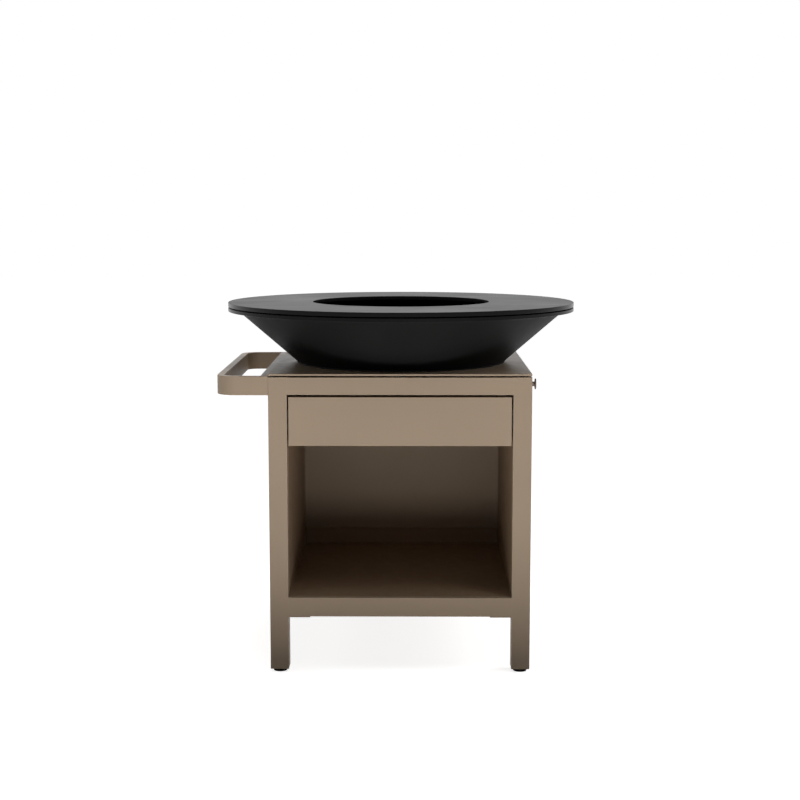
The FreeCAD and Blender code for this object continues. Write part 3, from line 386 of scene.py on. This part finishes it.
def skin(mesh, rings, closed=False):
    """Faces between rings of points. A skin that isn't closed on itself gets a face at either end."""
    rows = [[mesh.verts.new(point) for point in ring] for ring in rings]
    count = len(rows[0])
    pairs = list(zip(rows, rows[1:]))
    if closed:
        pairs.append((rows[-1], rows[0]))
    else:
        mesh.faces.new(rows[0][::-1])
        mesh.faces.new(rows[-1])
    for first, second in pairs:
        for index in range(count):
            after = (index + 1) % count
            mesh.faces.new((first[index], first[after], second[after], second[index]))


def circle(radius, height, segments, sides=0):
    """A ring of points, round or with sides flats, where radius is half the width across the flats."""
    points = []
    for index in range(segments):
        angle = FULL_TURN * index / segments
        reach = radius
        if sides:
            wedge = FULL_TURN / sides
            reach = radius / math.cos(angle % wedge - wedge / 2)
        points.append(Vector((reach * math.cos(angle), reach * math.sin(angle), height)))
    return points


def turned(mesh, profile, segments, closed=False, place=None):
    """A turned form from (radius, height) or (radius, height, sides) rows, about Z or as placed."""
    place = place or Matrix.Identity(4)
    rings = [[place @ point for point in circle(row[0], row[1], segments, *row[2:])] for row in profile]
    skin(mesh, rings, closed)


def aimed(origin, axis, right=None):
    """Placement whose Z runs along axis, and whose X runs along right if given."""
    upright = Vector(axis).normalized()
    across = Vector(right) if right else upright.orthogonal()
    across = (across - upright * across.dot(upright)).normalized()
    turn = Matrix((across, upright.cross(across), upright)).transposed().to_4x4()
    return Matrix.Translation(origin) @ turn


def bar(mesh, low, high, radius):
    """A bar with its long edges rounded."""
    size = high - low
    axis = max(range(3), key=lambda index: size[index])
    first, second = [index for index in range(3) if index != axis]
    outline = rectangle((low[first], low[second]), (high[first], high[second]), radius)
    rings = []
    for level in (low[axis], high[axis]):
        ring = []
        for point in outline:
            place = Vector((0.0, 0.0, 0.0))
            place[axis] = level
            place[first] = point.x
            place[second] = point.y
            ring.append(place)
        rings.append(ring)
    skin(mesh, rings)


def slab(mesh, low, high, corner, edge):
    """A flat plate with rounded upright corners and eased edges above and below."""
    steps = 3
    rings = []
    levels = [(low.z, edge)]
    for step in range(1, steps + 1):
        angle = math.pi / 2 * step / steps
        levels.append((low.z + edge * (1 - math.cos(angle)), edge * (1 - math.sin(angle))))
    levels += [(low.z + high.z - z, inset) for z, inset in reversed(levels)]
    for z, inset in levels:
        near = (low.x + inset, low.y + inset)
        far = (high.x - inset, high.y - inset)
        outline = rectangle(near, far, corner - inset / 2)
        rings.append([Vector((point.x, point.y, z)) for point in outline])
    skin(mesh, rings)


def piece(name, mesh, node, stands_for=True, crease=35.0):
    """Closes a mesh as a piece that moves with the body of a CAD node, and has its finish."""
    bmesh.ops.recalc_face_normals(mesh, faces=mesh.faces)
    data = bpy.data.meshes.new(name)
    mesh.to_mesh(data)
    mesh.free()
    data.shade_smooth()
    data.set_sharp_from_angle(angle=math.radians(crease))
    data.materials.append(finish_of(node))
    made = bpy.data.objects.new(name, data)
    bpy.context.scene.collection.objects.link(made)
    flatten = made.modifiers.new("even_faces", "WEIGHTED_NORMAL")
    flatten.keep_sharp = True
    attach(made, body_of[node])
    if stands_for:
        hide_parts(node)


def copied(node):
    """A mesh with the faces of a CAD node, flat ones made whole."""
    mesh = bmesh.new()
    mesh.from_mesh(nodes[node].data)
    bmesh.ops.remove_doubles(mesh, verts=mesh.verts, dist=0.001 * MM)
    bmesh.ops.dissolve_limit(mesh, angle_limit=math.radians(1.0), verts=mesh.verts, edges=mesh.edges)
    return mesh


def round_edges(mesh, width, segments=2, chosen=None):
    """Rounds the sharp edges of a mesh, all of them or those that chosen takes."""
    sharp = []
    for edge in mesh.edges:
        if len(edge.link_faces) == 2 and edge.calc_face_angle() > math.radians(40.0):
            if chosen is None or chosen(edge):
                sharp.append(edge)
    bmesh.ops.bevel(
        mesh,
        geom=sharp,
        offset=width,
        segments=segments,
        profile=0.5,
        affect="EDGES",
        clamp_overlap=True,
    )


def eased(node, width):
    """A copy of a CAD node with all its sharp edges rounded."""
    mesh = copied(node)
    round_edges(mesh, width)
    piece(f"{node}_eased", mesh, node)


def cut(mesh, tool):
    """What is left of a mesh once another is taken away from it."""
    made = []
    for part in (mesh, tool):
        bmesh.ops.recalc_face_normals(part, faces=part.faces)
        data = bpy.data.meshes.new("cutting")
        part.to_mesh(data)
        part.free()
        made.append(bpy.data.objects.new("cutting", data))
        bpy.context.scene.collection.objects.link(made[-1])
    knife = made[0].modifiers.new("cutting", "BOOLEAN")
    knife.operation = "DIFFERENCE"
    knife.solver = "EXACT"
    knife.object = made[1]
    shown = made[0].evaluated_get(bpy.context.evaluated_depsgraph_get())
    left = bmesh.new()
    left.from_mesh(shown.to_mesh())
    shown.to_mesh_clear()
    for holder in made:
        data = holder.data
        bpy.data.objects.remove(holder)
        bpy.data.meshes.remove(data)
    return left


# Griddle plate, fire bowl and their ring parts

def make_disc(node, edge, segments=192):
    """A flat ring with rounded edges."""
    low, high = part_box(node)
    hole = inner_radius(node)
    corners = [(hole, low.z, edge), (high.x, low.z, edge), (high.x, high.z, edge), (hole, high.z, edge)]
    mesh = bmesh.new()
    turned(mesh, round_corners(corners), segments, closed=True)
    piece(f"{node}_turned", mesh, node)


def make_fire_bowl():
    """Conical bowl with a rounded knuckle at its foot."""
    low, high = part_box("fire_bowl")
    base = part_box("bowl_base_plate")[1].x
    wall = 3 * MM
    knuckle = 6 * MM
    slope = (high.x - base) / (high.z - low.z)
    inner_top = inner_radius("fire_bowl", high.z)
    inner_base = inner_top - slope * (high.z - low.z - wall)
    start = 20 * MM
    corners = [
        (start, low.z + wall, 0.0),
        (inner_base, low.z + wall, knuckle),
        (inner_top, high.z, 0.0),
        (high.x, high.z, 0.0),
        (base, low.z, 1.2 * MM),
        (start, low.z, 0.0),
    ]
    mesh = bmesh.new()
    turned(mesh, round_corners(corners, 6), 192)
    piece("fire_bowl_turned", mesh, "fire_bowl")


def make_base_plate():
    low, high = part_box("bowl_base_plate")
    mesh = bmesh.new()
    turned(mesh, plate_profile(20 * MM, high.x, low.z, high.z, 0.6 * MM), 192)
    piece("bowl_base_plate_turned", mesh, "bowl_base_plate")


def make_rim_weld():
    """Rippled bead between the bowl and the underside of its rim."""
    bowl_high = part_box("fire_bowl")[1]
    radius = bowl_high.x + 0.8 * MM
    height = bowl_high.z - 0.6 * MM
    bead = 2.5 * MM
    ripple = 0.18 * MM
    segments = 1240
    ring_count = 6
    rings = []
    for index in range(segments):
        angle = FULL_TURN * index / segments
        swell = bead + ripple * math.sin(math.pi / 2 * index)
        ring = []
        for step in range(ring_count):
            turn = FULL_TURN * step / ring_count
            reach = radius + swell * math.cos(turn)
            lift = min(height + swell * math.sin(turn), bowl_high.z + 0.3 * MM)
            ring.append(Vector((reach * math.cos(angle), reach * math.sin(angle), lift)))
        rings.append(ring)
    mesh = bmesh.new()
    skin(mesh, rings, closed=True)
    piece("rim_weld_bead", mesh, "fire_bowl", stands_for=False, crease=60.0)


# Tubes, plates and the bent handle

def make_tubes():
    """Square and flat tubes with their long outer corners rounded and their bolt holes kept."""
    touching = 0.01 * MM
    sides = ("front", "right", "rear", "left")
    rails = [f"{level}_{side}_rail" for level in ("upper", "lower") for side in sides]
    for node in rails + ["handle_mount_bar"]:
        low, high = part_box(node)
        size = high - low
        axis = max(range(3), key=lambda index: size[index])

        def on_corner(edge):
            first, last = [vert.co for vert in edge.verts]
            for index in range(3):
                across = abs(first[index] - last[index])
                if (across < touching) == (index == axis):
                    return False
                inset = min(first[index] - low[index], high[index] - first[index])
                if index != axis and inset > touching:
                    return False
            return True

        mesh = copied(node)
        round_edges(mesh, 1 * MM, 4, on_corner)
        piece(f"{node}_tube", mesh, node)


def make_handle():
    """Flat tube bent twice to a closed loop with the mount bar."""
    low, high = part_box("side_handle")
    thick = 16.5 * MM / 2
    wall = 2 * MM
    outer = 46 * MM
    bend = outer - thick
    steps = 16
    path = []
    for sign, order in ((-1, 1), (1, -1)):
        centre = Vector((low.x + outer, sign * (high.y - outer), 0.0))
        arc = []
        for step in range(steps + 1):
            angle = math.pi / 2 * step / steps
            outwards = Vector((-math.sin(angle), sign * math.cos(angle), 0.0))
            arc.append((centre + bend * outwards, outwards))
        root = (Vector((high.x, sign * (high.y - thick), 0.0)), Vector((0.0, sign, 0.0)))
        path += ([root] + arc)[::order]
    rings = []
    for inset, order in ((0.0, 1), (wall, -1)):
        half = thick - inset
        outline = rectangle((-half, low.z + inset), (half, high.z - inset), 1.2 * MM - 0.5 * inset)
        for place, outwards in path[::order]:
            rings.append([place + outwards * point.x + Vector((0.0, 0.0, point.y)) for point in outline])
    mesh = bmesh.new()
    skin(mesh, rings, closed=True)
    piece("side_handle_bent", mesh, "side_handle")


def make_top_panel():
    mesh = bmesh.new()
    slab(mesh, *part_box("top_panel"), 2 * MM, 0.2 * MM)
    piece("top_panel_plate", mesh, "top_panel")


# Fasteners, knobs and feet

def axial_rows(points, axis):
    """Middle of a solid across an axis, and the sorted (position, distance) rows of its points."""
    low, high = limits(points)
    middle = (low + high) / 2
    middle[axis] = 0.0
    rows = []
    for point in points:
        across = point - middle
        position = across[axis]
        across[axis] = 0.0
        rows.append((position, across.length))
    return middle, sorted(rows)


def make_screws(node, axis):
    """Button-head screws with a hexagon socket and a ridged thread."""
    pitch = 1.25 * MM
    mesh = bmesh.new()
    for points in points_of(node):
        middle, rows = axial_rows(points, axis)
        ends = (rows[0][0], rows[-1][0])
        reach = [max(wide for at, wide in rows if abs(at - end) < 0.2 * MM) for end in ends]
        top = 0 if reach[0] > reach[1] else 1
        shank = reach[1 - top]
        head = max(wide for at, wide in rows)
        wide_ats = [at for at, wide in rows if wide > 1.3 * shank]
        under = max(wide_ats) if top == 0 else min(wide_ats)
        tall = abs(ends[top] - under)
        length = abs(ends[1 - top] - under)
        outwards = Vector((0.0, 0.0, 0.0))
        outwards[axis] = 1.0 if top else -1.0
        origin = middle.copy()
        origin[axis] = under
        socket = 0.36 * head
        profile = [(socket, 0.35 * tall, 6), (socket, 0.94 * tall, 6), (1.2 * socket, tall)]
        for share in (0.62, 0.80, 0.92, 0.98, 1.0):
            dome = math.sqrt(max(0.0, 1 - ((share - 0.55) / 0.45) ** 2))
            profile.append((share * head, tall * (0.15 + 0.85 * dome)))
        profile += [(head, 0.08 * tall), (0.96 * head, 0.0), (shank, 0.0)]
        profile += thread(shank, shank - 0.5 * MM, -pitch, pitch - length, -pitch)
        profile += [(shank, 0.6 * MM - length), (shank - 0.6 * MM, -length)]
        turned(mesh, profile, 24, place=aimed(origin, outwards))
    piece(f"{node}_detailed", mesh, node)


def make_nuts(node, axis):
    """Hexagon nuts, chamfered on both faces."""
    mesh = bmesh.new()
    for points in points_of(node):
        low, high = limits(points)
        size = high - low
        across = [index for index in range(3) if index != axis]
        wide = max(across, key=lambda index: size[index])
        flats = min(size[index] for index in across) / 2
        right = Vector((0.0, 0.0, 0.0))
        right[wide] = 1.0
        upright = Vector((0.0, 0.0, 0.0))
        upright[axis] = 1.0
        origin = (low + high) / 2
        origin[axis] = low[axis]
        tall = size[axis]
        bore = min(axial_rows(points, axis)[1], key=lambda row: row[1])[1]
        profile = [
            (bore + 0.3 * MM, 0.0),
            (0.96 * flats, 0.0),
            (flats, 0.14 * tall, 6),
            (flats, 0.86 * tall, 6),
            (0.96 * flats, tall),
            (bore + 0.3 * MM, tall),
            (bore, 0.9 * tall),
            (bore, 0.1 * tall),
        ]
        turned(mesh, profile, 24, closed=True, place=aimed(origin, upright, right))
    piece(f"{node}_detailed", mesh, node)


def make_knobs():
    """Turned hook knobs: threaded stud, neck, and a thin disc with rounded edges."""
    neck = 5.5 * MM
    stud = 3 * MM
    pitch = 1 * MM
    thread_length = 11.5 * MM
    low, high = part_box("hook_knobs")
    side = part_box("upper_right_rail")[1].x
    start = low.x - side
    full = high.x - side
    disc = full - 3 * MM
    wide = (high.z - low.z) / 2
    corners = [
        (neck, 0.0, 0.0),
        (neck, disc, 0.6 * MM),
        (wide, disc, 0.7 * MM),
        (wide, full, 0.8 * MM),
        (2 * MM, full - 0.2 * MM, 0.0),
        (2 * MM, 0.0, 0.0),
    ]
    profile = [(stud - 0.6 * MM, start), (stud, start + 0.6 * MM)]
    profile += thread(stud, stud - 0.5 * MM, start + pitch, start + thread_length, pitch)
    profile.append((stud, 0.0))
    profile += [tuple(point) for point in round_corners(corners)[:-1]]
    mesh = bmesh.new()
    for points in points_of("hook_knobs"):
        middle = axial_rows(points, 0)[0]
        middle.x = side
        turned(mesh, profile, 36, place=aimed(middle, (1.0, 0.0, 0.0)))
    piece("hook_knobs_turned", mesh, "hook_knobs")


def make_feet():
    """Levelling feet: round glide with a dished underside, hexagon neck and ridged stem."""
    top = 6 * MM
    dish = 0.8 * MM
    neck = 6.9 * MM
    stem = 4 * MM
    pitch = 1.25 * MM
    for corner in CORNERS:
        node = f"{corner}_foot"
        low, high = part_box(node)
        middle = (low + high) / 2
        middle.z = 0.0
        wide = (high.x - low.x) / 2
        post_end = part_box(f"{corner}_post")[0].z
        corners = [
            (0.2 * wide, dish, 0.0),
            (0.52 * wide, dish, 0.0),
            (0.60 * wide, 0.0, 0.0),
            (wide, 0.0, 0.7 * MM),
            (wide, top - 0.3 * MM, 1 * MM),
            (0.62 * wide, top, 0.0),
        ]
        profile = [tuple(point) for point in round_corners(corners, 3)]
        profile += [(neck, top, 6), (neck, post_end - 0.3 * MM, 6)]
        profile += [(neck - 0.6 * MM, post_end), (stem, post_end)]
        profile += thread(stem, stem - 0.6 * MM, post_end + 1 * MM, high.z - 2 * MM, pitch)
        profile += [(stem, high.z - 1 * MM), (stem - 0.8 * MM, high.z)]
        mesh = bmesh.new()
        turned(mesh, profile, 36, place=Matrix.Translation(middle))
        piece(f"{node}_moulded", mesh, node)


def make_buttons(node, edge):
    """Small round pads with rounded edges."""
    mesh = bmesh.new()
    for points in points_of(node):
        low, high = limits(points)
        middle = (low + high) / 2
        middle.z = 0.0
        profile = plate_profile(1 * MM, (high.x - low.x) / 2, low.z, high.z, edge)
        turned(mesh, profile, 32, place=Matrix.Translation(middle))
    piece(f"{node}_rounded", mesh, node)


def make_ball_cages():
    """Stamped strips with a row of balls in each raceway of the drawer slides."""
    ball_pitch = 9 * MM
    mesh = bmesh.new()
    for points in points_of("slide_ball_cages"):
        low, high = limits(points)
        middle = (low + high) / 2
        size = high - low
        ball = min(size.x, size.z) / 2
        thin = Vector((size.x / 2, size.y / 2, size.z / 2))
        thin[0 if size.x < size.z else 2] = 0.35 * ball
        bar(mesh, middle - thin, middle + thin, 0.3 * ball)
        count = int(size.y / ball_pitch)
        for index in range(count):
            place = middle.copy()
            place.y = low.y + size.y * (index + 0.5) / count
            spot = Matrix.Translation(place)
            bmesh.ops.create_uvsphere(mesh, u_segments=10, v_segments=6, radius=ball, matrix=spot)
    piece("slide_ball_cages_stamped", mesh, "slide_ball_cages")


def make_slides():
    """Roll-formed slide members with rounded bends and rows of punched slots in their webs."""
    slot_reach = 6 * MM
    slot_half = 2.3 * MM
    first_slot = 55 * MM
    slot_pitch = 65 * MM
    for side in ("left", "right"):
        for member, shift in (("outer", 0.0), ("middle", 0.35), ("inner", 0.5)):
            node = f"{side}_slide_{member}"
            low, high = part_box(node)
            height = (low.z + high.z) / 2
            mesh = copied(node)
            round_edges(mesh, 0.5 * MM)
            punch = bmesh.new()
            along = low.y + first_slot + shift * slot_pitch
            while along < high.y - first_slot / 2:
                near = (along - slot_reach, height - slot_half)
                far = (along + slot_reach, height + slot_half)
                outline = rectangle(near, far, 0.95 * slot_half)
                ends = (low.x - 5 * MM, high.x + 5 * MM)
                skin(punch, [[Vector((x, point.x, point.y)) for point in outline] for x in ends])
                along += slot_pitch
            piece(f"{node}_punched", cut(mesh, punch), node)


SCREW_AXES = {
    "bowl_bolts": 2,
    "handle_bolts": 0,
    "bracket_screws": 1,
    "drawer_front_screws": 1,
    "slide_screws": 0,
}
NUT_AXES = {"bowl_nuts": 2, "handle_nuts": 0, "knob_nuts": 0}
EASED_NODES = {
    "storage_floor": 0.5 * MM,
    "left_liner": 0.5 * MM,
    "right_liner": 0.5 * MM,
    "left_side_panel": 0.5 * MM,
    "right_side_panel": 0.5 * MM,
    "back_panel": 0.5 * MM,
    "drawer_box": 0.4 * MM,
    "heat_shield": 0.4 * MM,
    "top_panel_brackets": 0.4 * MM,
    "corner_gussets": 0.4 * MM,
    "plate_lugs": 0.8 * MM,
    "post_plugs": 0.8 * MM,
}

make_disc("plancha_plate", 1.2 * MM)
make_disc("bowl_rim", 0.8 * MM)
make_fire_bowl()
make_base_plate()
make_rim_weld()
make_tubes()
make_handle()
make_top_panel()
for screw_node, screw_axis in SCREW_AXES.items():
    make_screws(screw_node, screw_axis)
for nut_node, nut_axis in NUT_AXES.items():
    make_nuts(nut_node, nut_axis)
make_knobs()
make_feet()
make_buttons("top_panel_spacers", 0.8 * MM)
make_buttons("plate_pads", 0.6 * MM)
make_ball_cages()
make_slides()
for eased_node, eased_width in EASED_NODES.items():
    eased(eased_node, eased_width)


# Stage: floor, backdrop, light and camera

def seen_directly(tree):
    """1 for rays from the camera, mirrors and glass, 0 for the rays that carry light."""
    path = tree.nodes.new("ShaderNodeLightPath")
    share = path.outputs["Is Camera Ray"]
    for name in ("Is Glossy Ray", "Is Transmission Ray"):
        larger = tree.nodes.new("ShaderNodeMath")
        larger.operation = "MAXIMUM"
        tree.links.new(share, larger.inputs[0])
        tree.links.new(path.outputs[name], larger.inputs[1])
        share = larger.outputs["Value"]
    return share


AMBIENT = 0.04


def make_world():
    """White backdrop to the eye, a weak even fill as light."""
    world = bpy.data.worlds.new("studio")
    world.use_nodes = True
    tree = world.node_tree
    fill = tree.nodes["Background"]
    fill.inputs["Color"].default_value = (1.0, 1.0, 1.0, 1.0)
    fill.inputs["Strength"].default_value = AMBIENT
    backdrop = tree.nodes.new("ShaderNodeBackground")
    backdrop.inputs["Color"].default_value = (1.0, 1.0, 1.0, 1.0)
    backdrop.inputs["Strength"].default_value = 1.0
    mix = tree.nodes.new("ShaderNodeMixShader")
    tree.links.new(seen_directly(tree), mix.inputs["Fac"])
    tree.links.new(fill.outputs["Background"], mix.inputs[1])
    tree.links.new(backdrop.outputs["Background"], mix.inputs[2])
    tree.links.new(mix.outputs["Shader"], tree.nodes["World Output"].inputs["Surface"])
    bpy.context.scene.world = world


FLOOR_SIZE = 40.0
FLOOR_WHITE = 0.80
FLOOR_GLOW = 0.82
GLOW_START = 1.0
GLOW_END = 5.0


def make_floor():
    """Plain white floor that keeps the object's shadow and runs into the white backdrop."""
    bpy.ops.mesh.primitive_plane_add(size=FLOOR_SIZE)
    floor = bpy.context.object
    floor.name = "studio_floor"
    material = bpy.data.materials.new("studio_white")
    material.use_nodes = True
    tree = material.node_tree
    matte = tree.nodes["Principled BSDF"]
    matte.inputs["Base Color"].default_value = (FLOOR_WHITE, FLOOR_WHITE, FLOOR_WHITE, 1.0)
    matte.inputs["Roughness"].default_value = 1.0
    matte.inputs["Specular IOR Level"].default_value = 0.0
    glow = tree.nodes.new("ShaderNodeEmission")
    place = tree.nodes.new("ShaderNodeNewGeometry")
    distance = tree.nodes.new("ShaderNodeVectorMath")
    distance.operation = "LENGTH"
    tree.links.new(place.outputs["Position"], distance.inputs[0])
    rise = tree.nodes.new("ShaderNodeMapRange")
    ramp = (("From Min", GLOW_START), ("From Max", GLOW_END), ("To Min", FLOOR_GLOW), ("To Max", 1.0))
    for name, value in ramp:
        rise.inputs[name].default_value = value
    tree.links.new(distance.outputs["Value"], rise.inputs["Value"])
    tree.links.new(rise.outputs["Result"], glow.inputs["Strength"])
    both = tree.nodes.new("ShaderNodeAddShader")
    tree.links.new(matte.outputs["BSDF"], both.inputs[0])
    tree.links.new(glow.outputs["Emission"], both.inputs[1])
    mix = tree.nodes.new("ShaderNodeMixShader")
    tree.links.new(seen_directly(tree), mix.inputs["Fac"])
    tree.links.new(matte.outputs["BSDF"], mix.inputs[1])
    tree.links.new(both.outputs["Shader"], mix.inputs[2])
    tree.links.new(mix.outputs["Shader"], tree.nodes["Material Output"].inputs["Surface"])
    floor.data.materials.append(material)


def add_softbox(name, place, target, width, height, power):
    """Area lamp that mirrors and the camera don't see."""
    light = bpy.data.lights.new(name, "AREA")
    light.shape = "RECTANGLE"
    light.size = width
    light.size_y = height
    light.energy = power
    lamp = bpy.data.objects.new(name, light)
    lamp.location = place
    lamp.rotation_euler = (Vector(target) - Vector(place)).to_track_quat("-Z", "Y").to_euler()
    lamp.visible_camera = False
    lamp.visible_glossy = False
    bpy.context.scene.collection.objects.link(lamp)


# name, place, aim, width, height and power
LAMPS = (
    ("front_card", (0.0, -1.3, 0.03), (0.0, -1.3, 1.0), 2.2, 0.8, 35.2),
    ("front_right_key", (1.4, -1.4, 3.1), (0.0, 0.0, 0.6), 1.0, 1.0, 12.0),
    ("rear_card", (0.0, 1.6, 0.03), (0.0, 1.6, 1.0), 3.0, 0.8, 45.0),
    ("overhead", (0.0, -0.2, 3.2), (0.0, -0.19, 0.0), 2.0, 2.0, 41.0),
    ("right_side", (2.6, 0.3, 1.4), (0.0, 0.0, 0.6), 1.2, 1.6, 33.0),
    ("left_side", (-2.6, 0.3, 1.4), (0.0, 0.0, 0.6), 1.2, 1.6, 13.0),
)

LENS = 69.72
CAMERA_PLACE = (0.0248, -3.7878, 1.0710)
CAMERA_TILT = 7.099
CAMERA_TURN = 0.408


def make_camera():
    """Eye level a little above the griddle, square to the front."""
    camera = bpy.data.cameras.new("camera")
    camera.lens = LENS
    holder = bpy.data.objects.new("camera", camera)
    holder.location = CAMERA_PLACE
    holder.rotation_euler = (math.radians(90.0 - CAMERA_TILT), 0.0, math.radians(CAMERA_TURN))
    bpy.context.scene.collection.objects.link(holder)
    bpy.context.scene.camera = holder


make_world()
make_floor()
for lamp_row in LAMPS:
    add_softbox(*lamp_row)
make_camera()
bpy.context.scene.view_settings.view_transform = "Standard"
